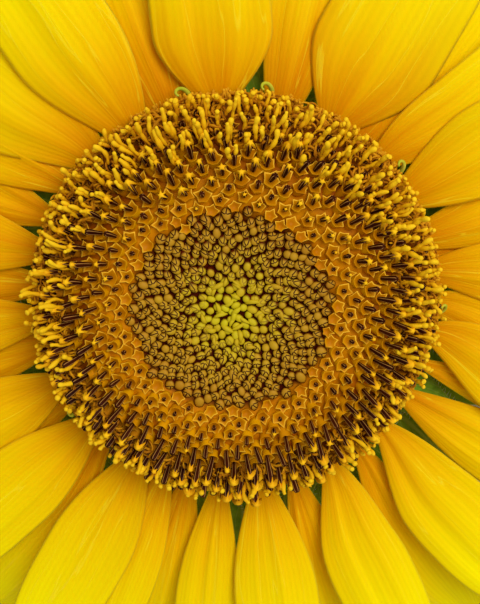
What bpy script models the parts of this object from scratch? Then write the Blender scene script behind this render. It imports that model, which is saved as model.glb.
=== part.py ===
"""A freshly picked sunflower head in full bloom, lying face up on the cut end of its stem.

The head is one assembly: a short stem, the fleshy receptacle, green bracts below it, ray petals
round its rim, and four rings of disc florets on top, from closed buds in the middle to florets
with curled stigmas at the edge. The origin is on the resting surface, below the middle of the head.
"""

import math
from collections import namedtuple

import bmesh
import bpy
import numpy as np

MM = 0.001
GAP = 0.3 * MM  # left between two pieces that touch
TURN_STEPS = 48  # facets round every turned piece

# The stem and the receptacle, which is a thick shallow dish with a flat rim band.
STEM_RADIUS = 10.5 * MM
STEM_LENGTH = 14.0 * MM
RIM_RADIUS = 52.5 * MM
RIM_BOTTOM = 31.5 * MM
RIM_TOP = 36.5 * MM
CROWN_HEIGHT = 43.5 * MM

# The disc: where each ring of florets ends, and how far its middle sits off the head's middle.
BUD_RADIUS = 27.0 * MM
OPEN_RADIUS = 38.0 * MM
ANTHER_RADIUS = 48.0 * MM
DISC_RADIUS = 57.5 * MM
BUD_CENTRE = (-1.5 * MM, -2.5 * MM)

# A petal's thickness, claw and rise. Petals that overlap sit on different layers, 0 the highest.
PETAL_THICKNESS = 0.8 * MM
PETAL_FOOT = RIM_RADIUS + 0.4 * MM
PETAL_HEIGHT = 36.0 * MM
PETAL_RISE = 9.0 * MM
PETAL_RISE_LENGTH = 35.0 * MM
PETAL_DROOP = 6.0 * MM
PETAL_CUP = 1.5 * MM
LAYER_STEP = 1.3 * MM
LAYER_SLOPE = 0.07
TAPER_START = 0.5
TIP_SHARE = 0.06
TURN_SHARE = 0.35  # how far along a petal its sideways bend ends
PETAL_ROWS = 8
PETAL_COLUMNS = 4

# foot and spread are the directions that the petal's claw and its blade point to, in degrees.
# claw is the foot's share of the full width, and shoulder is how far along the petal's length
# it reaches that width.
Petal = namedtuple("Petal", "foot spread width reach layer claw shoulder")
PETALS = (
    Petal(6.5, 4.0, 22, 135.3, 1, 0.22, 0.39),
    Petal(9.0, 8.5, 20, 130.0, 3, 0.24, 0.49),
    Petal(17.0, 17.5, 19, 129.0, 2, 0.38, 0.42),
    Petal(30.5, 31.0, 24, 134.0, 0, 0.32, 0.31),
    Petal(43.0, 39.5, 21, 131.0, 1, 0.28, 0.36),
    Petal(52.0, 52.0, 24, 130.0, 3, 0.40, 0.44),
    Petal(60.3, 60.3, 35, 136.0, 2, 0.48, 0.34),
    Petal(76.5, 76.5, 22, 131.0, 3, 0.46, 0.42),
    Petal(95.0, 95.0, 32, 135.5, 0, 0.60, 0.28),
    Petal(110.0, 110.0, 22, 128.0, 3, 0.46, 0.42),
    Petal(122.5, 123.5, 30, 136.0, 0, 0.34, 0.34),
    Petal(136.5, 139.5, 28, 133.0, 1, 0.30, 0.36),
    Petal(147.0, 148.5, 22, 131.0, 2, 0.22, 0.44),
    Petal(158.0, 158.0, 22, 129.0, 3, 0.16, 0.50),
    Petal(168.0, 168.0, 22, 134.0, 1, 0.22, 0.39),
    Petal(178.0, 178.0, 20, 130.0, 3, 0.24, 0.49),
    Petal(187.5, 187.5, 21, 136.2, 1, 0.22, 0.39),
    Petal(196.0, 196.0, 19, 128.0, 3, 0.24, 0.49),
    Petal(207.5, 207.5, 24, 133.0, 1, 0.14, 0.39),
    Petal(213.0, 212.5, 19, 127.0, 3, 0.14, 0.50),
    Petal(222.5, 222.0, 24, 135.0, 0, 0.14, 0.38),
    Petal(229.0, 232.5, 25, 134.0, 3, 0.06, 0.80),
    Petal(240.0, 240.3, 24.5, 134.0, 0, 0.18, 0.40),
    Petal(249.0, 249.0, 18, 131.0, 1, 0.10, 0.50),
    Petal(256.0, 256.0, 20, 128.0, 3, 0.08, 0.60),
    Petal(265.0, 264.5, 18, 132.0, 1, 0.08, 0.50),
    Petal(277.5, 277.5, 24.5, 136.0, 0, 0.12, 0.46),
    Petal(287.0, 287.0, 22, 129.0, 3, 0.06, 0.70),
    Petal(298.5, 295.7, 24, 134.0, 0, 0.08, 0.48),
    Petal(307.5, 305.3, 27, 134.0, 3, 0.04, 0.85),
    Petal(317.0, 314.0, 25, 136.0, 0, 0.06, 0.46),
    Petal(328.0, 328.0, 20, 131.0, 2, 0.12, 0.50),
    Petal(338.5, 338.5, 20, 129.0, 3, 0.06, 0.85),
    Petal(348.5, 342.7, 23, 134.0, 0, 0.15, 0.34),
    Petal(357.0, 352.0, 20, 130.0, 2, 0.22, 0.44),
)

# Bracts: a spreading series close under the petals, and an arching one whose tips touch down.
# root, shoulder and tip are (distance from the axis, height) points that steer the midrib.
Bracts = namedtuple("Bracts", "name directions width root shoulder tip")
BRACT_THICKNESS = 0.9 * MM
BRACT_KEEL = 1.2 * MM
BRACT_ROWS = 7
BRACT_SERIES = (
    Bracts(
        "bract_upper",
        (17, 41, 80, 105, 131, 152, 177, 196, 218, 256, 276, 298, 329, 350),
        17 * MM,
        (44.0 * MM, 20.8 * MM),
        (60.0 * MM, 28.5 * MM),
        (88.0 * MM, 25.0 * MM),
    ),
    Bracts(
        "bract_lower",
        (5, 66, 141, 233, 304),
        25 * MM,
        (30.0 * MM, 14.8 * MM),
        (62.0 * MM, 20.0 * MM),
        (82.0 * MM, 0.4 * MM),
    ),
)


def clear_scene():
    for obj in list(bpy.data.objects):
        bpy.data.objects.remove(obj)


def add_material(name, colour, roughness):
    """A plain dielectric finish from an sRGB hex colour."""
    material = bpy.data.materials.new(name)
    material.use_nodes = True
    shader = material.node_tree.nodes["Principled BSDF"]
    srgb = [int(colour[i : i + 2], 16) / 255 for i in (1, 3, 5)]
    linear = [c / 12.92 if c <= 0.04045 else ((c + 0.055) / 1.055) ** 2.4 for c in srgb]
    shader.inputs["Base Color"].default_value = (*linear, 1.0)
    shader.inputs["Roughness"].default_value = roughness
    shader.inputs["Metallic"].default_value = 0.0
    return material


def add_object(name, mesh, material, collection):
    obj = bpy.data.objects.new(name, mesh)
    mesh.materials.append(material)
    collection.objects.link(obj)
    return obj


def turned(name, profile, material, collection, closed=False):
    """A profile of (distance from the axis, height) points, spun round the head's axis.

    An open profile starts and ends on the axis. It runs down the outer side.
    """
    mesh = bpy.data.meshes.new(name)
    edges = [(i, i + 1) for i in range(len(profile) - 1)]
    if closed:
        edges.append((len(profile) - 1, 0))
    mesh.from_pydata([(r, 0.0, z) for r, z in profile], edges, [])
    obj = add_object(name, mesh, material, collection)
    screw = obj.modifiers.new("turn", "SCREW")
    screw.steps = screw.render_steps = TURN_STEPS
    screw.use_merge_vertices = True
    screw.merge_threshold = 0.01 * MM
    screw.use_smooth_shade = True
    return obj


def receptacle_top(r):
    """Height of the receptacle's upper face: a low dome that falls to the rim."""
    return RIM_TOP + (CROWN_HEIGHT - RIM_TOP) * (1 - (r / RIM_RADIUS) ** 2.6)


def shift_off_centre(obj):
    """Bakes the modifiers, then slides each point over the receptacle, most at the axis.

    A point keeps its height above the receptacle, and one at the disc's edge stays put.
    """
    graph = bpy.context.evaluated_depsgraph_get()
    mesh = bpy.data.meshes.new_from_object(obj.evaluated_get(graph))
    obj.modifiers.clear()
    obj.data = mesh
    for vertex in mesh.vertices:
        was = vertex.co.xy.length
        share = 1 - min((was / DISC_RADIUS) ** 2, 1)
        vertex.co.x += share * BUD_CENTRE[0]
        vertex.co.y += share * BUD_CENTRE[1]
        vertex.co.z += receptacle_top(vertex.co.xy.length) - receptacle_top(was)


def add_stem(material, collection):
    top = STEM_LENGTH - GAP / 2
    profile = (
        (0.0, top),
        (STEM_RADIUS + 1.2 * MM, top),
        (STEM_RADIUS, 0.55 * STEM_LENGTH),
        (STEM_RADIUS, 0.4 * MM),
        (STEM_RADIUS - 0.4 * MM, 0.0),
        (0.0, 0.0),
    )
    turned("stem", profile, material, collection)


def add_receptacle(material, collection):
    rings = [RIM_RADIUS * share for share in (0.0, 0.25, 0.45, 0.62, 0.78, 0.9, 1.0)]
    profile = [(r, receptacle_top(r)) for r in rings]
    profile += [
        (RIM_RADIUS, RIM_BOTTOM),
        (50.5 * MM, 28.0 * MM),
        (46.0 * MM, 24.0 * MM),
        (35.0 * MM, 18.5 * MM),
        (20.0 * MM, 15.0 * MM),
        (STEM_RADIUS + 1.5 * MM, STEM_LENGTH + GAP / 2),
        (0.0, STEM_LENGTH + GAP / 2),
    ]
    turned("receptacle", profile, material, collection)


def add_floret_ring(name, inner, outer, crest, material, collection):
    """One ring of disc florets, resting on the receptacle. crest is its upper outline, outwards."""
    steps = [inner + (outer - inner) * share for share in (1.0, 0.67, 0.33, 0.0)]
    underside = [(r, receptacle_top(r) + GAP) for r in steps]
    obj = turned(name, list(crest) + underside, material, collection, closed=inner > 0)
    shift_off_centre(obj)


def add_disc(materials, collection):
    """The four rings of florets, each standing a little further open than the one inside it."""
    add_floret_ring(
        "florets_in_bud",
        0.0,
        BUD_RADIUS - GAP,
        ((0.0, 50.0 * MM), (14.0 * MM, 50.3 * MM), (BUD_RADIUS - GAP, 51.8 * MM)),
        materials["bud"],
        collection,
    )
    add_floret_ring(
        "florets_opening",
        BUD_RADIUS,
        OPEN_RADIUS - GAP,
        ((BUD_RADIUS, 53.0 * MM), (32.0 * MM, 55.5 * MM), (OPEN_RADIUS - GAP, 56.5 * MM)),
        materials["corolla"],
        collection,
    )
    add_floret_ring(
        "florets_with_anthers",
        OPEN_RADIUS,
        ANTHER_RADIUS - GAP,
        ((OPEN_RADIUS, 58.0 * MM), (43.0 * MM, 57.0 * MM), (ANTHER_RADIUS - GAP, 54.0 * MM)),
        materials["anther"],
        collection,
    )
    rim_lip = (
        (ANTHER_RADIUS, 54.5 * MM),
        (53.0 * MM, 50.0 * MM),
        (56.5 * MM, 44.0 * MM),
        (DISC_RADIUS, 40.0 * MM),
        (56.5 * MM, 38.6 * MM),
    )
    add_floret_ring(
        "florets_with_stigmas",
        ANTHER_RADIUS,
        RIM_RADIUS,
        rim_lip,
        materials["stigma"],
        collection,
    )


def blade_object(name, points, rows, columns, thickness, material, collection):
    """A flat grid moved onto the given rows x columns of points, thickened both ways."""
    mesh = bpy.data.meshes.new(name)
    grid = bmesh.new()
    bmesh.ops.create_grid(grid, x_segments=rows, y_segments=columns, size=1.0)
    grid.verts.ensure_lookup_table()
    for vertex in grid.verts:
        row = round((vertex.co.x + 1) / 2 * rows)
        column = round((vertex.co.y + 1) / 2 * columns)
        vertex.co = points[row, column]
    grid.to_mesh(mesh)
    grid.free()
    mesh.shade_smooth()
    obj = add_object(name, mesh, material, collection)
    solid = obj.modifiers.new("thickness", "SOLIDIFY")
    solid.thickness = thickness
    solid.offset = 0.0
    return obj


def smooth_step(t):
    t = np.clip(t, 0.0, 1.0)
    return t * t * (3 - 2 * t)


def petal_outline(u, petal):
    """Share of the full width, from a narrow claw through a broad blade to a pointed tip."""
    widening = np.clip(u / petal.shoulder, 0, 1)
    opening = petal.claw + (1 - petal.claw) * np.sin(np.pi / 2 * widening)
    taper = 1 - (1 - TIP_SHARE) * np.clip((u - TAPER_START) / (1 - TAPER_START), 0, 1) ** 2.5
    return opening * taper


def petal_height(r, layer):
    """Height of a petal's midrib: it lifts off the rim, levels out and droops at the tip."""
    along = r - PETAL_FOOT
    rise = PETAL_RISE * (1 - np.exp(-along / PETAL_RISE_LENGTH))
    droop = PETAL_DROOP * (along / (80 * MM)) ** 4
    return PETAL_HEIGHT + rise - droop - layer * (LAYER_STEP + LAYER_SLOPE * along)


def petal_points(petal):
    """The petal's middle surface as an array of rows along it by columns across it."""
    u = np.linspace(0, 1, PETAL_ROWS + 1)[:, None]
    v = np.linspace(-1, 1, PETAL_COLUMNS + 1)[None, :]
    r = PETAL_FOOT + (petal.reach * MM - PETAL_FOOT) * u
    swing = smooth_step(u / TURN_SHARE)
    azimuth = np.radians(petal.foot + (petal.spread - petal.foot) * swing)
    outline = petal_outline(u, petal)
    side = 0.5 * petal.width * MM * outline * v
    height = petal_height(r, petal.layer) - PETAL_CUP * (outline * v) ** 2
    x = r * np.cos(azimuth) - side * np.sin(azimuth)
    y = r * np.sin(azimuth) + side * np.cos(azimuth)
    return np.stack([x, y, height + 0 * side], axis=-1)


def bract_points(series, direction):
    """A bract's middle surface: its midrib is a quadratic curve, and it narrows to a long point."""
    u = np.linspace(0, 1, BRACT_ROWS + 1)[:, None]
    v = np.linspace(-1, 1, 3)[None, :]
    steer = np.array([series.root, series.shoulder, series.tip])
    midrib = (1 - u) ** 2 * steer[0] + 2 * u * (1 - u) * steer[1] + u**2 * steer[2]
    r = midrib[:, :1]
    z = midrib[:, 1:]
    outline = (0.72 + 0.28 * np.sin(np.pi * np.clip(u / 0.7, 0, 1))) * (1 - 0.95 * u**2.2)
    side = 0.5 * series.width * outline * v
    azimuth = math.radians(direction)
    x = r * math.cos(azimuth) - side * math.sin(azimuth)
    y = r * math.sin(azimuth) + side * math.cos(azimuth)
    return np.stack([x, y, z + BRACT_KEEL * outline * np.abs(v)], axis=-1)


def add_petals(material, collection):
    for number, petal in enumerate(PETALS, 1):
        blade_object(
            f"petal_{number:02d}",
            petal_points(petal),
            PETAL_ROWS,
            PETAL_COLUMNS,
            PETAL_THICKNESS,
            material,
            collection,
        )


def add_bracts(material, collection):
    for series in BRACT_SERIES:
        for number, direction in enumerate(series.directions, 1):
            blade_object(
                f"{series.name}_{number:02d}",
                bract_points(series, direction),
                BRACT_ROWS,
                2,
                BRACT_THICKNESS,
                material,
                collection,
            )


def main():
    clear_scene()
    collection = bpy.data.collections.new("sunflower_head")
    bpy.context.scene.collection.children.link(collection)
    materials = {
        "petal": add_material("petal_yellow", "#F4C400", 0.5),
        "bract": add_material("bract_green", "#55751A", 0.6),
        "stem": add_material("stem_green", "#7C9440", 0.65),
        "bud": add_material("bud_olive", "#A8981C", 0.6),
        "corolla": add_material("corolla_orange", "#C88A10", 0.55),
        "anther": add_material("anther_brown", "#3A1810", 0.6),
        "stigma": add_material("stigma_yellow", "#D8A818", 0.6),
    }
    add_stem(materials["stem"], collection)
    add_receptacle(materials["stem"], collection)
    add_disc(materials, collection)
    add_bracts(materials["bract"], collection)
    add_petals(materials["petal"], collection)


main()
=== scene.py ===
"""Looks of a freshly picked sunflower head in full bloom, lying face up.

Lengths are in millimetres until a mesh is made. The disc is about 850 single florets on a
golden-angle spiral, from closed buds in the middle to spent florets at the rim. Round it stand
35 ray petals, and below it green bracts, the receptacle and a short cut stem.
"""

import functools
import math

import bpy
import numpy as np
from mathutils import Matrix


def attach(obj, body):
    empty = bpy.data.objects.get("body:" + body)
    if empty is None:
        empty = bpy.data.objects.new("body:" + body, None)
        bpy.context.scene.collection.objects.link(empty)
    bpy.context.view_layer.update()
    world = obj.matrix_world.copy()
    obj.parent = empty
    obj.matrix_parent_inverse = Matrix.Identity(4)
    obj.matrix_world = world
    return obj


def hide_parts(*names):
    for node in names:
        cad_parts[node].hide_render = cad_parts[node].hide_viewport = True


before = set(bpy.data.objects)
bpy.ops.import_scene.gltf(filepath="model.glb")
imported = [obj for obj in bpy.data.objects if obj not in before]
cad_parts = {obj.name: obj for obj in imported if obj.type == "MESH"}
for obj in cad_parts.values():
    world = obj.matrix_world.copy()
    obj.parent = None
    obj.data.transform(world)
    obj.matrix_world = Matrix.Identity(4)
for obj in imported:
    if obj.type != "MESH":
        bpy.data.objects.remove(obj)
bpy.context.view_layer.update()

MM = 0.001
RANDOM = np.random.default_rng(11)
TAU = 2 * math.pi

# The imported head's measures, which the florets and blades keep to.
DISC_RADIUS = 57.5
BUD_CENTRE = (-1.5, -2.5)  # how far the disc's middle sits off the head's axis
PETAL_FOOT = 52.9
STEM_RADIUS = 10.5
STEM_LENGTH = 14.0

# Where one stage of floret gives way to the next, outwards from the middle.
BUD_RADIUS = 27.0
YOUNG_ANTHER_RADIUS = 28.5
CROWN_RADIUS = 31.0
STIGMA_RADIUS = 41.0
TIP_RADIUS = 55.3  # where the longest stigmas end
FLORET_EDGE = 54.0
SPENT_RADIUS = 45.0
CROWN_END = 49.0
BUD_SPACING = 2.45
OPEN_SPACING = 4.3
GOLDEN_ANGLE = math.radians(137.50776)
PACKING = 0.87  # area that a floret takes, over the square of the spacing


def smooth_step(t):
    """Rises from 0 to 1 as t does, level at both ends: t squared times (3 - 2 t)."""
    t = np.clip(t, 0.0, 1.0)
    return t * t * (3 - 2 * t)


# Meshes


def xyz(x, y, z):
    """Points from their x, y and z, each a number or an array, repeated where it is smaller."""
    return np.stack(np.broadcast_arrays(x, y, z), axis=-1)


def packed_points(node):
    """x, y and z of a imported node's mesh, in metres."""
    flat = np.empty(len(node.data.vertices) * 3, np.float32)
    node.data.vertices.foreach_get("co", flat)
    return flat.reshape(-1, 3).T


def carried(name, rings, ends, material, slot, smooth=True, **marks):
    """Closed bodies, each a run of rings carried from a start point to an end point.

    rings is bodies x rings x points round x 3, and runs anticlockwise as seen from the end that
    the rings run to, so that faces point outwards. ends holds the start and end points, each
    bodies x 3. A mark is an attribute with one number or one vector for each point of the rings.
    """
    bodies, runs, around = rings.shape[:3]
    index = np.arange(bodies * runs * around).reshape(bodies, runs, around)
    onward = np.roll(index, -1, axis=2)
    quads = np.stack([index[:, :-1], onward[:, :-1], onward[:, 1:], index[:, 1:]], axis=-1)
    start = index.size + np.arange(bodies)[:, None]
    end = start + bodies
    first = np.stack([start + 0 * index[:, 0], onward[:, 0], index[:, 0]], axis=-1)
    last = np.stack([end + 0 * index[:, -1], index[:, -1], onward[:, -1]], axis=-1)
    corners = np.concatenate([quads.ravel(), first.ravel(), last.ravel()])
    quad_count = quads.size // 4
    fan_count = (first.size + last.size) // 3
    starts = np.concatenate([4 * np.arange(quad_count), 4 * quad_count + 3 * np.arange(fan_count)])
    points = np.concatenate([rings.reshape(-1, 3), ends[0], ends[1]]) * MM

    mesh = bpy.data.meshes.new(name)
    mesh.vertices.add(len(points))
    mesh.vertices.foreach_set("co", points.astype(np.float32).ravel())
    mesh.loops.add(len(corners))
    mesh.loops.foreach_set("vertex_index", corners.astype(np.int32))
    mesh.polygons.add(len(starts))
    mesh.polygons.foreach_set("loop_start", starts.astype(np.int32))
    mesh.update(calc_edges=True)
    for mark, values in marks.items():
        values = np.asarray(values, float)
        vector = values.ndim == 4
        full = np.broadcast_to(values, rings.shape if vector else rings.shape[:3])
        poles = [full[:, 0].mean(axis=1), full[:, -1].mean(axis=1)]
        flat = np.concatenate([full.reshape(-1, 3) if vector else full.ravel(), *poles])
        kind, field = ("FLOAT_VECTOR", "vector") if vector else ("FLOAT", "value")
        layer = mesh.attributes.new(mark, kind, "POINT")
        layer.data.foreach_set(field, flat.astype(np.float32).ravel())
    mesh.shade_smooth() if smooth else mesh.shade_flat()
    obj = bpy.data.objects.new(name, mesh)
    mesh.materials.append(material)
    bpy.context.scene.collection.objects.link(obj)
    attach(obj, "root")
    return obj


def turned_rings(profile, around, swell=None):
    """A profile of (distance, height) points spun round the axis, as 1 x rings x around x 3.

    swell is a function of (angle, height) that scales the distance from the axis.
    """
    r, z = np.array(profile, float).T[:, :, None]
    angle = TAU * np.arange(around)[None, :] / around
    if swell is not None:
        r = r * swell(angle, z)
    return xyz(r * np.cos(angle), r * np.sin(angle), z)[None]


# The disc: where each floret stands and which way it leans.


def mouth_height(r):
    """Height of the florets' mouths: a shallow dish of buds, a swollen ring, a falling rim."""
    return np.interp(
        r, (0, 12, 26, 33, 39, 48, 52, 56, 58),
        (49.0, 49.2, 51.2, 52.6, 52.2, 49.6, 46.2, 41.5, 39.5),
    )


def outward_tilt(r):
    """How far a floret leans outwards, in radians. Buds lean a little towards the middle."""
    return np.radians(
        np.interp(r, (0, 8, 14, 24, 28, 33, 38, 48, 56), (0, -12, -18, -8, 8, 20, 34, 54, 70))
    )


def ripeness(r, angle):
    """Distance from the middle, for a floret's stage: the head ripens faster at the top."""
    return r + 3.0 * np.sin(angle)


def floret_spacing(r):
    """How far apart florets stand: close together in bud, wider once they open."""
    return np.interp(r, (24, 30), (BUD_SPACING, OPEN_SPACING))


def spiral():
    """Florets in order along the spiral: distance from the middle and direction, both arrays.

    Each is a golden angle further round than the last, and the number within a distance is
    the area inside it over the area that one floret takes at that spacing.
    """
    r = np.linspace(0, FLORET_EDGE, 4000)
    density = TAU * r / (PACKING * floret_spacing(r) ** 2)
    count = np.concatenate([[0], np.cumsum((density[1:] + density[:-1]) / 2 * np.diff(r))])
    order = np.arange(int(count[-1]))
    place = np.interp(order + 0.5, count, r)
    shift = RANDOM.normal(0, 0.13, (2, len(order)))
    return place + shift[0], order * GOLDEN_ANGLE + shift[1] / place


class Stand:
    """Where florets stand: foot points, and the outward, sideways and upward lines of each."""

    def __init__(self, r, angle, lift=0.0, tilt=0.0, yaw=0.0):
        self.r = r
        share = 1 - np.clip(r / DISC_RADIUS, 0, 1) ** 2
        self.place = xyz(
            r * np.cos(angle) + share * BUD_CENTRE[0], r * np.sin(angle) + share * BUD_CENTRE[1],
            mouth_height(r) + lift,
        )
        lean = outward_tilt(r) + tilt
        heading = angle + yaw
        flat = xyz(np.cos(heading), np.sin(heading), 0.0)
        upright = np.array([0.0, 0.0, 1.0])
        cos, sin = np.cos(lean)[:, None], np.sin(lean)[:, None]
        self.up = cos * upright + sin * flat
        self.out = cos * flat - sin * upright
        self.side = np.cross(self.up, self.out)

    def put(self, local):
        """Local (outward, sideways, upward) points, florets x ... x 3, in the head's frame."""
        shape = (len(self.r),) + (1,) * (local.ndim - 2) + (3,)
        out, side, up = (a.reshape(shape) for a in (self.out, self.side, self.up))
        return (
            self.place.reshape(shape)
            + local[..., :1] * out
            + local[..., 1:2] * side
            + local[..., 2:] * up
        )


def spread(low, high, count):
    """One random number for each body, in the shape that bodies x rings x points take."""
    return RANDOM.uniform(low, high, count)[:, None, None]


def per_ring(*values):
    """One number for each ring of every body."""
    return np.array(values, float)[None, :, None]


def pole(stand, height, x=0.0, y=0.0):
    """The point on each floret's axis that closes its rings, or one beside it."""
    count = len(stand.r)
    point = [np.broadcast_to(np.ravel(v), (count,)) for v in (x, y, height)]
    return stand.put(np.stack(point, axis=-1)[:, None, :])[:, 0]


def add_buds(material, r, angle):
    """Closed buds: domed cushions with five soft lobes.

    The side is a half-oval from a narrow foot to the crown. The top ring is pulled towards the
    middle of the head, more in some buds than in others, and the lobes meet in shallow grooves.
    """
    count = len(r)
    stand = Stand(
        r, angle, lift=RANDOM.normal(0, 0.22, count), tilt=RANDOM.normal(0, 0.16, count),
        yaw=RANDOM.normal(0, 0.25, count),
    )
    around = 10
    turn = (TAU * np.arange(around) / around)[None, None, :]
    size = 0.525 * floret_spacing(np.minimum(r, 25.0))[:, None, None] * spread(0.9, 1.12, count)
    ring = per_ring(0.62, 0.98, 1.0, 0.74, 0.36)
    height = per_ring(-3.0, -1.5, -0.75, -0.16, 0.12)
    lobes = 1 + 0.03 * np.cos(5 * turn + spread(0, TAU, count))
    long = spread(0.92, 1.3, count)
    pull = spread(-0.1, 0.5, count) * per_ring(0, 0, 0.1, 0.45, 0.95)
    sway = spread(-0.3, 0.3, count) * per_ring(0, 0, 0.1, 0.5, 0.9)
    flat_x = ring * lobes * np.cos(turn) * long
    flat_y = ring * lobes * np.sin(turn) / long**0.5
    x = size * (flat_x - pull)
    y = size * (flat_y + sway)
    rings = stand.put(xyz(x, y, height))
    top = pole(stand, 0.16, -1.05 * size * pull[:, -1:], size * sway[:, -1:])
    # Lobe directions and how far open each bud is, for the slits between its lobes.
    open_share = smooth_step((r - 5) / 8)[:, None, None] * (spread(0, 1, count) < 0.9)
    slit_turn = spread(-1.2, 1.2, count)
    cos, sin = np.cos(slit_turn), np.sin(slit_turn)
    local = xyz(flat_x * cos - flat_y * sin, flat_x * sin + flat_y * cos, height)
    return carried(
        "closed_buds", rings, (pole(stand, -3.1), top), material, "bud", local=local,
        open=open_share, tint=spread(0, 1, count), run=np.broadcast_to(r[:, None, None], x.shape),
    )


def add_wisps(material):
    """Narrow bracts between the youngest buds: small leaf-like clubs that lie on top of them.

    Each path runs sideways for a few millimetres, higher in the middle than at both ends.
    """
    count = 26
    r = RANDOM.uniform(1, 14, count)
    stand = Stand(r, RANDOM.uniform(0, TAU, count), yaw=RANDOM.normal(0, 0.9, count))
    u = np.linspace(0, 1, 7)[None, :]
    length = RANDOM.uniform(2.2, 4.4, count)[:, None]
    path = xyz(length * (u - 0.5), 0.5 * np.sin(3 * u + r[:, None]), -0.55 + 2.6 * u * (1 - u))
    path = stand.put(path)
    thick = RANDOM.uniform(0.5, 0.8, count)[:, None] * np.sin(np.pi * (0.12 + 0.83 * u))
    rings = tube_rings(path, thick[..., None], 6)
    return carried(
        "bud_bract_tips", rings, (path[:, 0], path[:, -1]), material, "bud",
        local=np.zeros((1, 1, 1, 3)), open=np.zeros((1, 1, 1)), tint=np.zeros((1, 1, 1)),
        run=r[:, None, None] + 5.0,
    )


def add_corollas(name, material, r, angle, width, depth):
    """Open five-lobed corollas: double-walled cups whose rims zigzag between lobes and notches.

    Every second column of the rim is a lobe's point and every other one a notch. The wall
    runs up the outside, over a thin rim and down the inside to the bottom of the cup.
    """
    count = len(r)
    stand = Stand(
        r, angle, lift=RANDOM.normal(0, 0.2, count), tilt=RANDOM.normal(0, 0.1, count),
        yaw=RANDOM.normal(0, 0.14, count),
    )
    around = 10
    turn = TAU * np.arange(around)[None, None, :] / around + spread(-0.5, 0.5, count)
    point = (np.arange(around) % 2 == 0).astype(float)[None, None, :]
    reach = RANDOM.uniform(0.6, 1.3, (count, 1, around)) * point
    notch = 1 + 0.14 * RANDOM.uniform(-1, 1, (count, 1, around)) * (1 - point)
    size = 0.5 * width * spread(0.86, 1.1, count)
    base = per_ring(0.6, 0.74, 0.76, 0.72, 0.74, 0.6, 0.34) * notch
    flare = per_ring(0, 0, 0.04, 0.34, 0.48, 0.32, 0.0) * (0.8 + 0.4 * np.cos(turn))
    height = per_ring(-1.0, -0.5, -0.2, 0, 0, 0, 0) * depth
    height = height + per_ring(0, 0, 0, -0.3, 0.0, -0.22, -0.6)
    curl = per_ring(0, 0, 0.1, 0.5, 0.62, 0.5, 0.0)
    distance = size * (base + flare * reach)
    lift = curl * reach * spread(0.2, 1.0, count) + 0.35 * curl * np.cos(turn)
    rings = stand.put(xyz(distance * np.cos(turn), distance * np.sin(turn), height + lift))
    # The rim is thick and pale on the side away from the middle of the head.
    away = 0.12 + 0.88 * smooth_step(0.8 + np.cos(turn))
    rim = per_ring(0, 0, 0, 0.15, 1.0, 0.15, 0) * away
    inside = per_ring(0, 0, 0, 0, 0.1, 0.5, 1.0)
    return carried(
        name, rings, (pole(stand, -1.02 * depth), pole(stand, -0.8)), material, "corolla", rim=rim,
        inside=inside, tint=spread(0, 1, count),
    )


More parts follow.
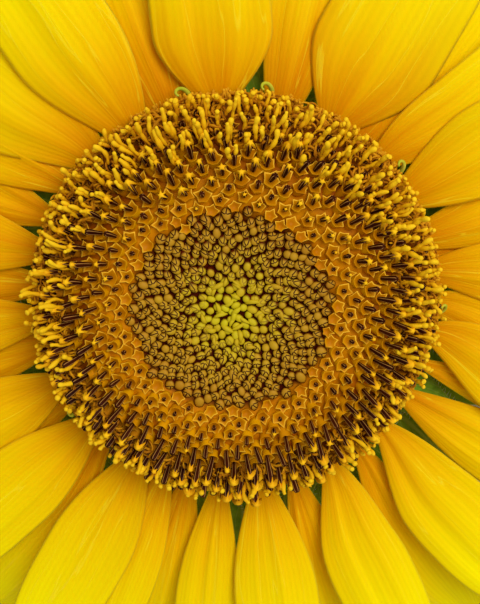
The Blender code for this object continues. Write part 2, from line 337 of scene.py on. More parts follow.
def add_anthers(dark, pollen, r, angle):
    """Anther tubes: dark five-ribbed tubes, most with a crown of splayed, pollen-dusted tips.

    A tube is a ribbed drum that widens a little upwards. It stands further out of its corolla
    the further the floret is from the buds. A crown is a cap whose five points bend down.
    """
    count = len(r)
    stand = Stand(
        r, angle, tilt=RANDOM.normal(0.02, 0.08, count), yaw=RANDOM.normal(0, 0.12, count)
    )
    ripe = ripeness(r, angle)
    growth = smooth_step((ripe - YOUNG_ANTHER_RADIUS) / 12)[:, None, None]
    sunk = smooth_step((ripe - SPENT_RADIUS) / 6)[:, None, None]
    around = 10
    turn = TAU * np.arange(around)[None, None, :] / around
    rib = (np.arange(around) % 2 == 0).astype(float)[None, None, :]
    radius = (0.6 + 0.28 * growth) * spread(0.92, 1.08, count)
    tallest = 4.8 - 0.9 * np.sin(angle)[:, None, None]
    length = (0.3 + tallest * growth - 3.4 * sunk) * spread(0.8, 1.2, count)
    along = per_ring(0, 0.3, 0.7, 0.93, 1.0)
    shape = per_ring(0.55, 0.72, 0.96, 1.0, 0.7)
    distance = radius * shape * (1 - 0.1 * (1 - rib))
    rise = -1.6 + (length + 1.6) * along
    bend = 0.35 * growth * spread(-1, 1, count) * along**2
    shift = 0.7 * (1 - growth) * spread(0.2, 1, count)
    rings = stand.put(xyz(distance * np.cos(turn) + shift, distance * np.sin(turn) + bend, rise))
    ends = (pole(stand, -1.7, shift), pole(stand, length + 0.05, shift, bend[:, -1:]))
    carried(
        "anther_tubes", rings, ends, dark, "anther", rib=rib, along=along, tint=spread(0, 1, count)
    )

    crowned = (ripe > CROWN_RADIUS) & (ripe < CROWN_END)
    chance = np.interp(ripe, (32, 38, 44, 46), (0.3, 0.7, 0.85, 0.5))
    crowned &= RANDOM.uniform(0, 1, count) < chance
    tip = stand.put(
        xyz(np.ravel(shift), np.ravel(bend[:, -1:]), np.ravel(length) + 0.1)[:, None, :]
    )[:, 0]
    crowns = int(crowned.sum())
    cap = Stand(r[crowned], angle[crowned], tilt=RANDOM.normal(-0.1, 0.22, crowns))
    cap.place = tip[crowned]
    grown = growth[crowned]
    claw = RANDOM.uniform(0.75, 1.25, (crowns, 1, around)) * rib
    size = (0.55 + 0.85 * grown) * spread(0.85, 1.15, crowns)
    splay = spread(0.55, 1.05, crowns)
    turn = turn + RANDOM.uniform(-0.25, 0.25, (crowns, 1, around)) + spread(0, TAU, crowns)
    base = per_ring(0.2, 0.24, 0.26, 0.36, 0.4, 0.28)
    flare = per_ring(0.3, 0.92, 1.0, 0.72, 0.34, 0.05) * splay
    level = per_ring(-0.12, -0.2, 0.0, 0.34, 0.62, 0.82)
    droop = per_ring(0.0, -0.9, -0.7, -0.15, 0.05, 0.0) * splay
    distance = size * (base + flare * claw)
    rings = cap.put(
        xyz(distance * np.cos(turn), distance * np.sin(turn), size * (level + droop * claw))
    )
    carried(
        "pollen_crowns", rings, (pole(cap, -0.1), pole(cap, np.ravel(size) * 0.9)), pollen,
        "stigma", along=per_ring(0, 0.2, 0.5, 0.8, 0.95, 1.0), tint=spread(0, 1, crowns),
    )


def tube_rings(path, radius, around):
    """Rings of the given radius round each path, florets x points x 3.

    Each ring stands square to the path, turned from a fixed sideways line, so it can't twist.
    """
    ahead = np.gradient(path, axis=1)
    ahead /= np.linalg.norm(ahead, axis=-1, keepdims=True)
    guess = np.array([0.137, -0.291, 0.947])
    first = np.cross(ahead, guess)
    first /= np.linalg.norm(first, axis=-1, keepdims=True)
    second = np.cross(ahead, first)
    turn = TAU * np.arange(around) / around
    ring = (
        np.cos(turn)[:, None] * first[:, :, None, :] + np.sin(turn)[:, None] * second[:, :, None, :]
    )
    return path[:, :, None, :] + radius[..., None] * ring


def held_in(path):
    """Paths bent back softly, so that none reaches further than the disc's ragged edge.

    The last 3 mm of the way out is pressed together by a hyperbolic tangent, and each path has
    its own limit, so the edge is uneven.
    """
    r = np.hypot(path[..., 0], path[..., 1])
    limit = TIP_RADIUS + 2.0 * np.minimum(path[..., 1] / r, 0)
    limit += RANDOM.normal(-0.2, 1.0, (len(path), 1))
    excess = np.clip(r - limit + 3.0, 0, None)
    pressed = np.where(excess > 0, limit - 3.0 + 3.0 * np.tanh(excess / 3.0), r)
    return path * xyz(pressed / r, pressed / r, np.ones_like(r))


def add_stigmas(material, r, angle):
    """Stigma branches: plump, blunt, slightly wavy clubs that lie outwards over the rim.

    The path leaves the top of the anther tube along the floret's axis, sways sideways as a sine
    and bends by a random curl. The radius grows from a thin foot to a blunt, rounded end.
    """
    count = len(r)
    stand = Stand(r, angle, tilt=RANDOM.normal(0.14, 0.13, count), yaw=RANDOM.normal(0, 0.1, count))
    u = np.linspace(0, 1, 16)[None, :]
    length = RANDOM.uniform(4.2, 8.0, count)[:, None]
    start = RANDOM.uniform(0.4, 3.6, count)[:, None]
    room = (TIP_RADIUS - r)[:, None] / np.maximum(np.sin(outward_tilt(r)), 0.3)[:, None]
    start = np.minimum(start, np.maximum(room - 3.2, -1.5))
    sway = RANDOM.uniform(0.1, 0.6, count)[:, None]
    phase = RANDOM.uniform(0, TAU, count)[:, None]
    curl = RANDOM.standard_t(2.5, count).clip(-4, 4)[:, None] * 0.4
    rise = RANDOM.normal(-0.2, 0.6, count)[:, None]
    path = xyz(
        -rise * u**2 + 0.3 * np.sin(5 * u + 2 * phase),
        sway * np.sin(4.6 * u + phase) + curl * u**2, start + length * u,
    )
    path = held_in(stand.put(path))
    thick = RANDOM.uniform(0.46, 0.66, count)[:, None]
    shape = np.interp(u, (0, 0.15, 0.45, 0.8, 0.95, 1.0), (0.42, 0.7, 0.95, 1.06, 1.0, 0.8))
    knots = 0.68 + 0.54 * np.abs(np.sin(7.5 * u + 3 * phase)) ** 0.7
    rings = tube_rings(path, (thick * shape * knots)[..., None], 7)
    last = path[:, -1] + 0.3 * (path[:, -1] - path[:, -2])
    return carried(
        "stigma_branches", rings, (path[:, 0] - 0.1 * (path[:, 1] - path[:, 0]), last), material,
        "stigma", along=(u + 0 * length)[..., None], tint=spread(0, 1, count),
    )


def add_curls(material):
    """Withered style ends and corolla shreds at the rim: thin arcs that curl every way.

    Each path is a part of a circle, in a plane turned at random, whose middle lies on the rim.
    """
    count = 2500
    r = np.where(
        RANDOM.uniform(0, 1, count) < 0.65, RANDOM.uniform(44.5, 54.0, count),
        RANDOM.uniform(52.0, 56.5, count),
    )
    stand = Stand(
        r, RANDOM.uniform(0, TAU, count), lift=RANDOM.uniform(-0.6, 1.8, count),
        tilt=RANDOM.normal(0.0, 0.45, count), yaw=RANDOM.normal(0, 0.7, count),
    )
    u = np.linspace(0, 1, 8)[None, :]
    bow = RANDOM.uniform(0.7, 2.0, count)[:, None]
    sweep = RANDOM.uniform(1.3, 4.2, count)[:, None]
    lean = RANDOM.uniform(0, TAU, count)[:, None]
    arc = sweep * (u - 0.5)
    path = xyz(
        bow * np.sin(arc) * np.cos(lean), bow * np.sin(arc) * np.sin(lean),
        bow * np.cos(arc) - 0.4 * bow,
    )
    path = held_in(stand.put(path))
    thick = RANDOM.uniform(0.26, 0.44, count)[:, None] * (1 - 0.5 * np.abs(2 * u - 1) ** 3)
    rings = tube_rings(path, thick[..., None], 5)
    return carried(
        "withered_curls", rings, (path[:, 0], path[:, -1]), material, "corolla",
        along=(u + 0 * bow)[..., None], tint=spread(0, 1, count),
    )


def add_rim(material):
    """Withered florets that clothe the disc's outer wall: short fingers, bent up at the end.

    Each path runs straight outwards from the wall, then turns up as the square of the way.
    """
    count = 1400
    angle = RANDOM.uniform(0, TAU, count)
    level = RANDOM.uniform(37.6, 43.5, count)
    start = np.interp(level, (37.5, 40.5, 43.5), (53.9, 53.9, 52.4)) - 0.5
    u = np.linspace(0, 1, 6)[None, :]
    length = RANDOM.uniform(1.0, 3.0, count)[:, None]
    turn = angle[:, None] + RANDOM.normal(0, 0.012, count)[:, None] * u
    r = start[:, None] + length * u
    z = level[:, None] + RANDOM.uniform(-0.6, 1.4, count)[:, None] * u**2
    path = xyz(r * np.cos(turn), r * np.sin(turn), z)
    thick = RANDOM.uniform(0.35, 0.6, count)[:, None] * (1 - 0.35 * u**3)
    rings = tube_rings(path, thick[..., None], 6)
    return carried(
        "withered_rim", rings, (path[:, 0], path[:, -1] + 0.2 * (path[:, -1] - path[:, -2])),
        material, "corolla", along=(u + 0 * length)[..., None], tint=spread(0, 1, count),
    )


def add_bed(material):
    """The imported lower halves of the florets, as one closed surface that fills between them.

    Its top runs a set depth below the mouths: deep under the buds, shallow in the ring of open
    corollas, and deep again towards the rim. Small bulges stand where the corollas swell.
    """
    r = np.concatenate([np.linspace(0.5, 54, 150), [54.2, 53.8, 52.8, 52.0]])
    around = 480
    depth = np.interp(r, (0, 25, 28, 36, 41, 46, 55), (1.7, 1.7, 1.35, 1.6, 2.0, 2.4, 1.6))
    top = mouth_height(r) - depth
    top[150:] = (38.6, 38.0, 37.6, 37.2)
    turn = TAU * np.arange(around)[None, :] / around
    share = (1 - np.clip(r / DISC_RADIUS, 0, 1) ** 2)[:, None]
    ring = np.clip((r - 26) / 3, 0, 1) * np.clip((57 - r) / 4, 0, 1)
    swell = 0.22 * np.sin(0.9 * r[:, None] + 34 * turn) * np.sin(0.9 * r[:, None] - 21 * turn)
    rings = xyz(
        r[:, None] * np.cos(turn) + share * BUD_CENTRE[0],
        r[:, None] * np.sin(turn) + share * BUD_CENTRE[1], top[:, None] + swell * ring[:, None],
    )[None, ::-1]
    middle = np.array([[BUD_CENTRE[0], BUD_CENTRE[1], top[0]]])
    under = np.array([[BUD_CENTRE[0], BUD_CENTRE[1], 37.0]])
    return carried(
        "floret_bed", rings, (under, middle), material, "corolla", run=r[None, ::-1, None]
    )


# Blades: petals and bracts


def blade_rings(middle, thickness):
    """Closed lens-shaped rings round a blade.

    middle is a function of (u, v) that gives the blade's middle surface: u runs from foot to
    tip, v from one edge to the other. Each ring runs back over the top and out underneath, and
    is thickest on the midrib and sharp at both edges.
    """
    rows, columns = thickness.shape[0], 64
    share = np.arange(columns) / columns
    v = np.where(share < 0.5, 1 - 4 * share, 4 * share - 3)[None, :]
    face = np.where(share < 0.5, 1.0, -1.0)[None, :]
    u = np.linspace(0, 1, rows)[:, None]
    points = middle(u, v)
    half = 0.5 * thickness[:, None] * np.sqrt(np.clip(1 - v**2, 0, 1)) * face
    points[..., 2] += half
    return u, v, points


class PetalMeasures:
    """A ray petal's directions, reach, width and layer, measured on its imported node."""

    LAYER_STEP = 1.3
    FOOT_HEIGHT = 36.0

    def __init__(self, node):
        x, y, z = packed_points(node) / MM
        r = np.hypot(x, y)
        foot = r < r.min() + 0.3
        tip = r > r.max() - 0.3
        self.foot = math.atan2(y[foot].mean(), x[foot].mean())
        self.spread = math.atan2(y[tip].mean(), x[tip].mean())
        self.reach = float(r.max())
        self.layer = round((self.FOOT_HEIGHT - float(z[foot].mean())) / self.LAYER_STEP)
        side = np.abs(y * math.cos(self.spread) - x * math.sin(self.spread))
        blade = r > PETAL_FOOT + 0.34 * (self.reach - PETAL_FOOT)
        self.width = 2 * float(side[blade].max())
        # The claw's share of the width, and how far out the blade's shoulder lies. The shoulder
        # follows from the width at the second row of packed points.
        sideways = y * math.cos(self.foot) - x * math.sin(self.foot)
        share = (r - PETAL_FOOT) / (self.reach - PETAL_FOOT)
        second = (share > 0.06) & (share < 0.19)
        claw_width, second_width = (float(np.ptp(sideways[part])) for part in (foot, second))
        self.claw = claw_width / self.width
        opened = (second_width / self.width - self.claw) / (1 - self.claw)
        self.shoulder = 0.5 * math.pi * float(share[second].mean()) / math.asin(min(opened, 1.0))
        # The turn that brings the foot's direction to the blade's, the short way round.
        self.swing = (self.spread - self.foot + math.pi) % TAU - math.pi


def petal_outline(u, petal):
    """Share of the full width, from a narrow claw through a broad blade to a pointed tip."""
    widening = np.clip(u / petal.shoulder, 0, 1)
    opening = petal.claw + (1 - petal.claw) * np.sin(np.pi / 2 * widening)
    return opening * (1 - 0.94 * np.clip((u - 0.5) / 0.5, 0, 1) ** 2.5)


def petal_height(r, layer):
    """Height of a petal's midrib: it lifts off the rim, levels out and droops at the tip.

    Each layer lies a little below the one above, and further below towards the tips.
    """
    along = r - PETAL_FOOT
    rise = 9.0 * (1 - np.exp(-along / 35.0))
    below = layer * (0.8 + 0.03 * along + 0.0006 * along**2)
    return 35.4 + rise - 6.0 * (along / 80.0) ** 4 - below


def add_petal(name, node, material):
    """A ray petal: a spoon-shaped blade with lengthwise pleats that run together at the claw.

    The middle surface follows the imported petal, and its sides fall away as the square of the
    distance from the midrib. Added to it are three pleats, as cosines across the blade, three
    sharp crests, each the square of a tent, and a slow sine wave along each edge.
    """
    petal = PetalMeasures(node)
    rows = 72
    u_rows = np.linspace(0, 1, rows)
    pleats = RANDOM.uniform(0.5, 1.0, 3)
    phases = RANDOM.uniform(0, TAU, 3)
    crests = RANDOM.uniform(-0.6, 0.6, 3)
    crest_height = RANDOM.uniform(0.15, 0.5, 3)
    edge_phase = RANDOM.uniform(0, TAU, 2)
    bend = RANDOM.normal(0, 0.5)

    def middle(u, v):
        r = PETAL_FOOT + (petal.reach - PETAL_FOOT) * u
        azimuth = petal.foot + petal.swing * smooth_step(u / 0.35)
        outline = petal_outline(u, petal)
        side = 0.5 * petal.width * outline * v
        height = petal_height(r, petal.layer) - 1.1 * (outline * v) ** 2
        rising = 0.25 + 0.75 * smooth_step(u / 0.3)
        calm = 1 - 0.75 * v**2
        pleat = (
            0.62 * pleats[0] * np.cos(2.1 * np.pi * v + phases[0])
            + 0.2 * pleats[1] * np.cos(3.6 * np.pi * v + phases[1] + 1.5 * u)
            + 0.07 * pleats[2] * np.cos(6.3 * np.pi * v + phases[2] - 2.0 * u)
        )
        width_share = petal.width / 24
        height = height + pleat * rising * calm * width_share * (1 - 0.3 * u)
        for crest, tall in zip(crests, crest_height):
            near = np.clip(1 - np.abs(v - crest - 0.12 * bend * u) / 0.14, 0, 1)
            height = height + tall * near**2 * smooth_step((u - 0.06) / 0.2)
        edge = np.abs(v) ** 4 * smooth_step((u - 0.1) / 0.3)
        wave = np.where(v > 0, np.sin(15 * u + edge_phase[0]), np.sin(17 * u + edge_phase[1]))
        height = height + 0.22 * edge * wave
        x = r * np.cos(azimuth) - side * np.sin(azimuth)
        y = r * np.sin(azimuth) + side * np.cos(azimuth)
        return xyz(x, y, height)

    thickness = 0.75 - 0.35 * u_rows
    u, v, points = blade_rings(middle, thickness)
    ends = [points[0].mean(axis=0)[None], points[-1].mean(axis=0)[None]]
    reach = petal.reach - PETAL_FOOT
    obj = carried(
        name, points[None], ends, material, "petal",
        across=np.broadcast_to(v, points.shape[:2])[None],
        run=np.broadcast_to(reach * u, points.shape[:2])[None],
        tint=np.full((1, 1, 1), RANDOM.uniform(0, 1)), layer=np.full((1, 1, 1), float(petal.layer)),
    )
    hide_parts(node.name)
    return obj


BRACT_SERIES = {
    # width, then (distance from the axis, height) points that steer the midrib
    "bract_upper": (17.0, (44.0, 20.8), (60.0, 28.5), (88.0, 25.0)),
    "bract_lower": (25.0, (30.0, 14.8), (62.0, 20.0), (82.0, 0.4)),
    "bract_middle": (28.0, (39.0, 18.6), (64.0, 24.0), (92.0, 14.0)),
}
# Directions of the middle row's bracts, in degrees, unevenly spaced as they grow.
MIDDLE_BRACTS = (
    6, 20, 33, 47, 66, 79, 92, 104, 117, 131, 148, 163, 175, 187, 199, 211, 222, 234, 246, 259, 271,
    284, 297, 309, 321, 334, 348,
)


def add_bract(name, series, azimuth, material, node=None):
    """A bract: a broad-based leaf drawn out to a long point, with a sunken midrib.

    Its midrib is a quadratic curve through the three steering points. The sides rise from the
    midrib, the edges wave slowly, and side veins raise the blade between them.
    """
    width, root, shoulder, tip = BRACT_SERIES[series]
    rows = 48
    phases = RANDOM.uniform(0, TAU, 3)
    twist = RANDOM.normal(0, 0.06)

    def middle(u, v):
        steer = np.array([root, shoulder, tip])
        midrib = (1 - u) ** 2 * steer[0] + 2 * u * (1 - u) * steer[1] + u**2 * steer[2]
        r, z = midrib[:, :1], midrib[:, 1:]
        outline = (0.72 + 0.28 * np.sin(np.pi * np.clip(u / 0.7, 0, 1))) * (1 - 0.95 * u**2.2)
        side = 0.5 * width * outline * v
        turn = azimuth + twist * u**2
        keel = 1.2 * outline * np.abs(v) ** 1.3
        edge = 0.45 * outline * np.abs(v) ** 3 * np.sin(12 * u + np.where(v > 0, *phases[:2]))
        veins = 0.12 * outline * np.sin(26 * (u - 0.25 * np.abs(v)) + phases[2]) * np.abs(v)
        x = r * np.cos(turn) - side * np.sin(turn)
        y = r * np.sin(turn) + side * np.cos(turn)
        return xyz(x, y, z + keel + edge + veins)

    u_rows = np.linspace(0, 1, rows)
    u, v, points = blade_rings(middle, 1.1 - 0.6 * u_rows)
    points[..., 2] = np.maximum(points[..., 2], 0.02)
    ends = [points[0].mean(axis=0)[None], points[-1].mean(axis=0)[None]]
    obj = carried(
        name, points[None], ends, material, "bract",
        across=np.broadcast_to(v, points.shape[:2])[None],
        along=np.broadcast_to(u, points.shape[:2])[None],
        tint=np.full((1, 1, 1), RANDOM.uniform(0, 1)),
    )
    if node is not None:
        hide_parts(node.name)
    return obj, points


def add_curled_tips(material):
    """Bract tips that stand up between the petals' feet: thin spirals that close inwards.

    Each path starts between two petals, climbs, and winds sideways in a circle that shrinks.
    """
    direction = np.radians([80.5, 103.5, 355.0, 37.5, 214.0])[:, None]
    u = np.linspace(0, 1, 24)[None, :]
    wind = 3.8 * u**1.2
    circle = 2.3 * (1 - 0.4 * u)
    r = 55.0 + 2.0 * u + circle * np.sin(wind)
    sideways = circle * (1 - np.cos(wind)) - 0.5
    z = 35.5 + 6.5 * u
    path = xyz(
        r * np.cos(direction) - sideways * np.sin(direction),
        r * np.sin(direction) + sideways * np.cos(direction), z,
    )
    radius = (0.75 - 0.45 * u + 0 * direction)[..., None]
    rings = tube_rings(path, radius, 8)
    return carried("curled_bract_tips", rings, (path[:, 0], path[:, -1]), material, "bract")


def add_hairs(name, roots, directions, lengths, material, slot):
    """Hairs: thin three-sided spikes from each root, bent a little downwards on the way."""
    u = np.linspace(0, 1, 4)[None, :, None]
    droop = np.array([0.0, 0.0, -0.25])
    path = roots[:, None] + lengths[:, None, None] * (u * directions[:, None] + u**2 * droop)
    path[..., 2] = np.maximum(path[..., 2], 0.1)
    radius = (0.09 * (1 - 0.75 * u[..., 0]) + 0 * lengths[:, None])[..., None]
    rings = tube_rings(path, radius, 3)
    return carried(name, rings, (path[:, 0], path[:, -1]), material, slot)


def add_receptacle(material):
    """The receptacle: a fleshy dish, ridged below where the bracts join it."""
    profile = (
        (3.0, 14.15), (11.6, 14.15), (15.0, 14.7), (20.0, 15.0), (27.0, 16.4), (35.0, 18.5),
        (41.0, 21.0), (46.0, 24.0), (50.5, 28.0), (52.4, 31.5), (52.4, 34.0), (52.2, 36.4),
        (47.0, 38.6), (40.0, 40.4), (25.0, 42.6), (10.0, 43.2),
    )

    def swell(angle, z):
        below = np.clip((30 - z) / 6, 0, 1) * np.clip((z - 14.6) / 1.5, 0, 1)
        return 1 + below * (0.012 * np.cos(21 * angle) + 0.006 * np.cos(55 * angle + 1))

    rings = turned_rings(profile, 240, swell)
    ends = (np.array([[0, 0, 14.15]]), np.array([[0, 0, 43.3]]))
    obj = carried("receptacle_dish", rings, ends, material, "receptacle")
    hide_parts("receptacle")


def add_stem(material):
    """The cut stem: a ribbed stub that flares into the receptacle, with a flat cut end."""
    heights = np.linspace(0.5, STEM_LENGTH - 0.2, 22)
    flare = 1.2 * smooth_step((heights - 7) / 7)
    profile = [(6.5, 0.05), (9.7, 0.0), (10.2, 0.12)]
    profile += [(STEM_RADIUS + f, h) for f, h in zip(flare, heights)]

    def swell(angle, z):
        return 1 + 0.014 * np.cos(17 * angle + 0.4 * np.sin(3 * angle)) * (z > 0.2)

    rings = turned_rings(profile, 204, swell)
    ends = (np.array([[0, 0, 0.15]]), np.array([[0, 0, STEM_LENGTH - 0.2]]))
    obj = carried("cut_stem", rings, ends, material, "stem")
    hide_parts("stem")


# Materials

# Noise scales on Object coordinates: patterns to a metre, so 1000 over the size in millimetres.
MOTTLE_1_7_MM = 600.0
MOTTLE_2_6_MM = 380.0
MOTTLE_3_1_MM = 320.0
MOTTLE_3_3_MM = 300.0
GRAIN_0_45_MM = 2200.0
CLOUD_25_MM = 40.0


def linear(code):
    """An sRGB hex colour as linear red, green, blue and full alpha."""
    srgb = [int(code[i : i + 2], 16) / 255 for i in (1, 3, 5)]
    return (*(c / 12.92 if c <= 0.04045 else ((c + 0.055) / 1.055) ** 2.4 for c in srgb), 1.0)


def add_node(tree, kind, inputs=None, stops=None, output=0, **settings):
    """Adds a node and gives its output, by name or number.

    inputs maps a socket's name or number to a value or to the socket to link.
    """
    node = tree.nodes.new("ShaderNode" + kind)
    for setting, value in settings.items():
        setattr(node, setting, value)
    for socket, value in (inputs or {}).items():
        if isinstance(value, bpy.types.NodeSocket):
            tree.links.new(value, node.inputs[socket])
        else:
            node.inputs[socket].default_value = value
    if stops:
        elements = node.color_ramp.elements
        while len(elements) < len(stops):
            elements.new(1.0)
        for element, (position, colour) in zip(elements, stops):
            element.position = position
            element.color = linear(colour)
    return node.outputs[output]


def new_material(name):
    """A new material, the function that adds nodes to it, and its shader."""
    material = bpy.data.materials.new(name)
    material.use_nodes = True
    tree = material.node_tree
    return material, functools.partial(add_node, tree), tree.nodes["Principled BSDF"]


def set_skin(shader, colour, bump, roughness, specular):
    """Links a finish's colour and bump to its shader and sets how its surface shines."""
    links = shader.id_data.links
    links.new(colour, shader.inputs["Base Color"])
    links.new(bump, shader.inputs["Normal"])
    shader.inputs["Roughness"].default_value = roughness
    shader.inputs["Specular IOR Level"].default_value = specular


def petal_finish():
    """Living ray petal: a thin, waxy, finely grooved skin.

    Orange at the claw thins out to pure yellow. It is partly pigment and partly painted shade,
    where the claw lies under the fringe and lower petals lie under higher ones.
    Fine grooves about 1.5 mm apart run the whole length. Thin pale lines from the claw are painted
    highlight along raised crests, and a paler band along each edge is painted rim light.
    """
    material, add, shader = new_material("ray_petal_waxy_skin")
    across, run, tint, layer = (
        add("Attribute", attribute_name=mark, output="Fac")
        for mark in ("across", "run", "tint", "layer")
    )
    # A blade's own coordinates: sideways share, slow distance along, and a number for the petal.
    offset = add("Math", {0: tint, 1: 37.0}, operation="MULTIPLY")
    slow = add("Math", {0: run, 1: 0.005}, operation="MULTIPLY")
    place = add("CombineXYZ", {"X": across, "Y": slow, "Z": offset})
    streaks = add("TexNoise", {"Vector": place, "Scale": 3.0, "Detail": 2.0, "Roughness": 0.5})
    fine = add("TexNoise", {"Vector": place, "Scale": 11.0, "Detail": 2.0, "Roughness": 0.6})
    # Distance along, moved by the streaks. It is made shorter the deeper the petal lies, so lower
    # petals get more orange as painted shade under the higher ones.
    moved = add("Math", {0: streaks, 1: 22.0, 2: run}, operation="MULTIPLY_ADD")
    deep = add("Math", {0: layer, 1: -2.2, 2: moved}, operation="MULTIPLY_ADD")
    distance = add("MapRange", {"Value": deep, "From Min": 8.0, "From Max": 68.0})
    # Orange towards the claw is partly pigment and partly painted shade under the fringe and the
    # higher petals.
    colour = add(
        "ValToRGB", {"Fac": distance},
        stops=[
            (0.0, "#DE8600"), (0.14, "#E89800"), (0.3, "#F4AE00"), (0.5, "#F9C300"),
            (0.75, "#FCD300"), (1.0, "#FFE200"),
        ],
    )
    # Fine grooves: a wave across the blade, which the claw draws together.
    waver = add("Math", {0: streaks, 1: 0.16, 2: across}, operation="MULTIPLY_ADD")
    wave = add("Math", {0: waver, 1: 52.0}, operation="MULTIPLY")
    groove = add("Math", {0: wave}, operation="SINE")
    groove_fade = add("Math", {0: groove, 1: fine}, operation="MULTIPLY")
    # Pale lines: a few long ones from the claw, bent by the streaks, painted paler yellow as
    # highlight along the raised crests that the bump draws.
    bent = add("Math", {0: streaks, 1: 7.0, 2: offset}, operation="MULTIPLY_ADD")
    crest_run = add("Math", {0: across, 1: 6.0, 2: bent}, operation="MULTIPLY_ADD")
    crest = add("Math", {0: crest_run}, operation="SINE")
    crest_line = add("Math", {0: crest, 1: crest}, operation="MULTIPLY")
    line = add(
        "MapRange",
        {"Value": crest_line, "From Min": 0.0, "From Max": 0.008, "To Min": 1.0, "To Max": 0.0},
    )
    grooved = add(
        "MapRange",
        {"Value": groove_fade, "From Min": -0.5, "From Max": 0.5, "To Min": 0.97, "To Max": 1.02},
    )
    shaded = add("VectorMath", {0: colour, "Scale": grooved}, operation="SCALE")
    crest_highlight_share = add("Math", {0: line, 1: 0.42}, operation="MULTIPLY")
    crest_highlighted = add("Mix", {0: crest_highlight_share, 6: shaded, 7: linear("#FFD824")}, data_type="RGBA", output=2)
    # Painted rim light: a thin band along both edges is made paler yellow, as if the edges caught
    # the light.
    edge_share = add("Math", {0: across}, operation="ABSOLUTE")
    edge = add(
        "MapRange", {"Value": edge_share, "From Min": 0.955, "From Max": 0.995, "To Max": 0.4}
    )
    edge_rim_lit = add("Mix", {0: edge, 6: crest_highlighted, 7: linear("#FFE030")}, data_type="RGBA", output=2)
    height = add("Math", {0: line, 1: 1.2, 2: groove_fade}, operation="MULTIPLY_ADD")
    bump = add("Bump", {"Height": height, "Strength": 0.2, "Distance": 0.0002})
    # Light passes into the thin blade and comes out warmer, which fills its soft shadows.
    shader.inputs["Subsurface Weight"].default_value = 0.35
    shader.inputs["Subsurface Radius"].default_value = (1.0, 0.6, 0.02)
    shader.inputs["Subsurface Scale"].default_value = 0.004
    set_skin(shader, edge_rim_lit, bump, 0.6, 0.02)
    return material


def bud_finish():
    """Closed buds: matte, waxy cushions, green in the very middle and tan further out, with painted
    shade on their lower flanks.

    Dark slits open between the five lobes of the older buds, with pale lobe edges beside them.
    """
    material, add, shader = new_material("floret_bud_waxy_skin")
    run, tint, opened = (
        add("Attribute", attribute_name=mark, output="Fac") for mark in ("run", "tint", "open")
    )
    local = add("Attribute", attribute_name="local", output="Vector")
    axes = add("SeparateXYZ", {0: local}).node.outputs
    spot = add("Math", {0: tint, 1: 7.0, 2: run}, operation="MULTIPLY_ADD")
    ripeness = add("MapRange", {"Value": spot, "From Min": 3.0, "From Max": 33.0})
    colour = add(
        "ValToRGB", {"Fac": ripeness},
        stops=[(0.0, "#C4B610"), (0.3, "#C2A414"), (0.6, "#B88A18"), (1.0, "#AC7414")],
    )
    # Height on the bud: painted shade makes the lower flanks dark brown, where packed neighbours
    # shade them, so only the crown is bright.
    crown = add("MapRange", {"Value": axes["Z"], "From Min": -0.7, "From Max": -0.14})
    shaded_flank = add("Mix", {0: crown, 6: linear("#501200"), 7: colour}, data_type="RGBA", output=2)
    # Distance from the nearest of the slits that run from the crown down its outer side.
    angle = add("Math", {0: axes["Y"], 1: axes["X"]}, operation="ARCTAN2")
    fold = add("Math", {0: angle, 1: 2.5}, operation="MULTIPLY")
    sine = add("Math", {0: fold}, operation="SINE")
    away = add("Math", {0: sine}, operation="ABSOLUTE")
    flat = add("CombineXYZ", {"X": axes["X"], "Y": axes["Y"]})
    radius = add("VectorMath", {0: flat}, operation="LENGTH", output="Value")
    gap = add("Math", {0: away, 1: radius}, operation="MULTIPLY")
    slit = add(
        "MapRange", {"Value": gap, "From Min": 0.18, "From Max": 0.36, "To Min": 1.0, "To Max": 0.0}
    )
    lip = add(
        "MapRange", {"Value": gap, "From Min": 0.26, "From Max": 0.5, "To Min": 1.0, "To Max": 0.0}
    )
    off_crown = add("Math", {0: radius, 1: 0.7, 2: axes["X"]}, operation="MULTIPLY_ADD")
    outer = add("MapRange", {"Value": off_crown, "From Min": 0.05, "From Max": 0.28})
    shown = add("Math", {0: opened, 1: outer}, operation="MULTIPLY")
    slit_shown = add("Math", {0: slit, 1: shown}, operation="MULTIPLY")
    lip_shown = add("Math", {0: lip, 1: shown}, operation="MULTIPLY")
    lip_part = add("Math", {0: lip_shown, 1: 0.75}, operation="MULTIPLY")
    lipped = add("Mix", {0: lip_part, 6: shaded_flank, 7: linear("#D8B034")}, data_type="RGBA", output=2)
    slitted = add(
        "Mix", {0: slit_shown, 6: lipped, 7: linear("#4A1400")}, data_type="RGBA", output=2
    )
    bump = add("Bump", {"Height": slit_shown, "Strength": 0.8, "Distance": 0.0003}, invert=True)
    set_skin(shader, slitted, bump, 0.5, 0.1)
    return material


def corolla_finish(name, wall, rim_colour, inside_colour):
    """Open corolla: smooth satin tissue with a thin, pale, thickened rim."""
    material, add, shader = new_material(name)
    rim, inside, tint = (
        add("Attribute", attribute_name=mark, output="Fac") for mark in ("rim", "inside", "tint")
    )
    place = add("TexCoord", output="Object")
    mottle = add("TexNoise", {"Vector": place, "Scale": MOTTLE_1_7_MM, "Detail": 3.0})
    mixed = add("Math", {0: mottle, 1: 0.5, 2: tint}, operation="MULTIPLY_ADD")
    colour = add("ValToRGB", {"Fac": mixed}, stops=[(0.1, wall[0]), (1.1, wall[1])])
    cup = add("Mix", {0: inside, 6: colour, 7: linear(inside_colour)}, data_type="RGBA", output=2)
    share = add("MapRange", {"Value": rim, "From Min": 0.2, "From Max": 0.55})
    rimmed = add("Mix", {0: share, 6: cup, 7: linear(rim_colour)}, data_type="RGBA", output=2)
    bump = add("Bump", {"Height": mottle, "Strength": 0.2, "Distance": 0.0002})
    set_skin(shader, rimmed, bump, 0.45, 0.05)
    return material


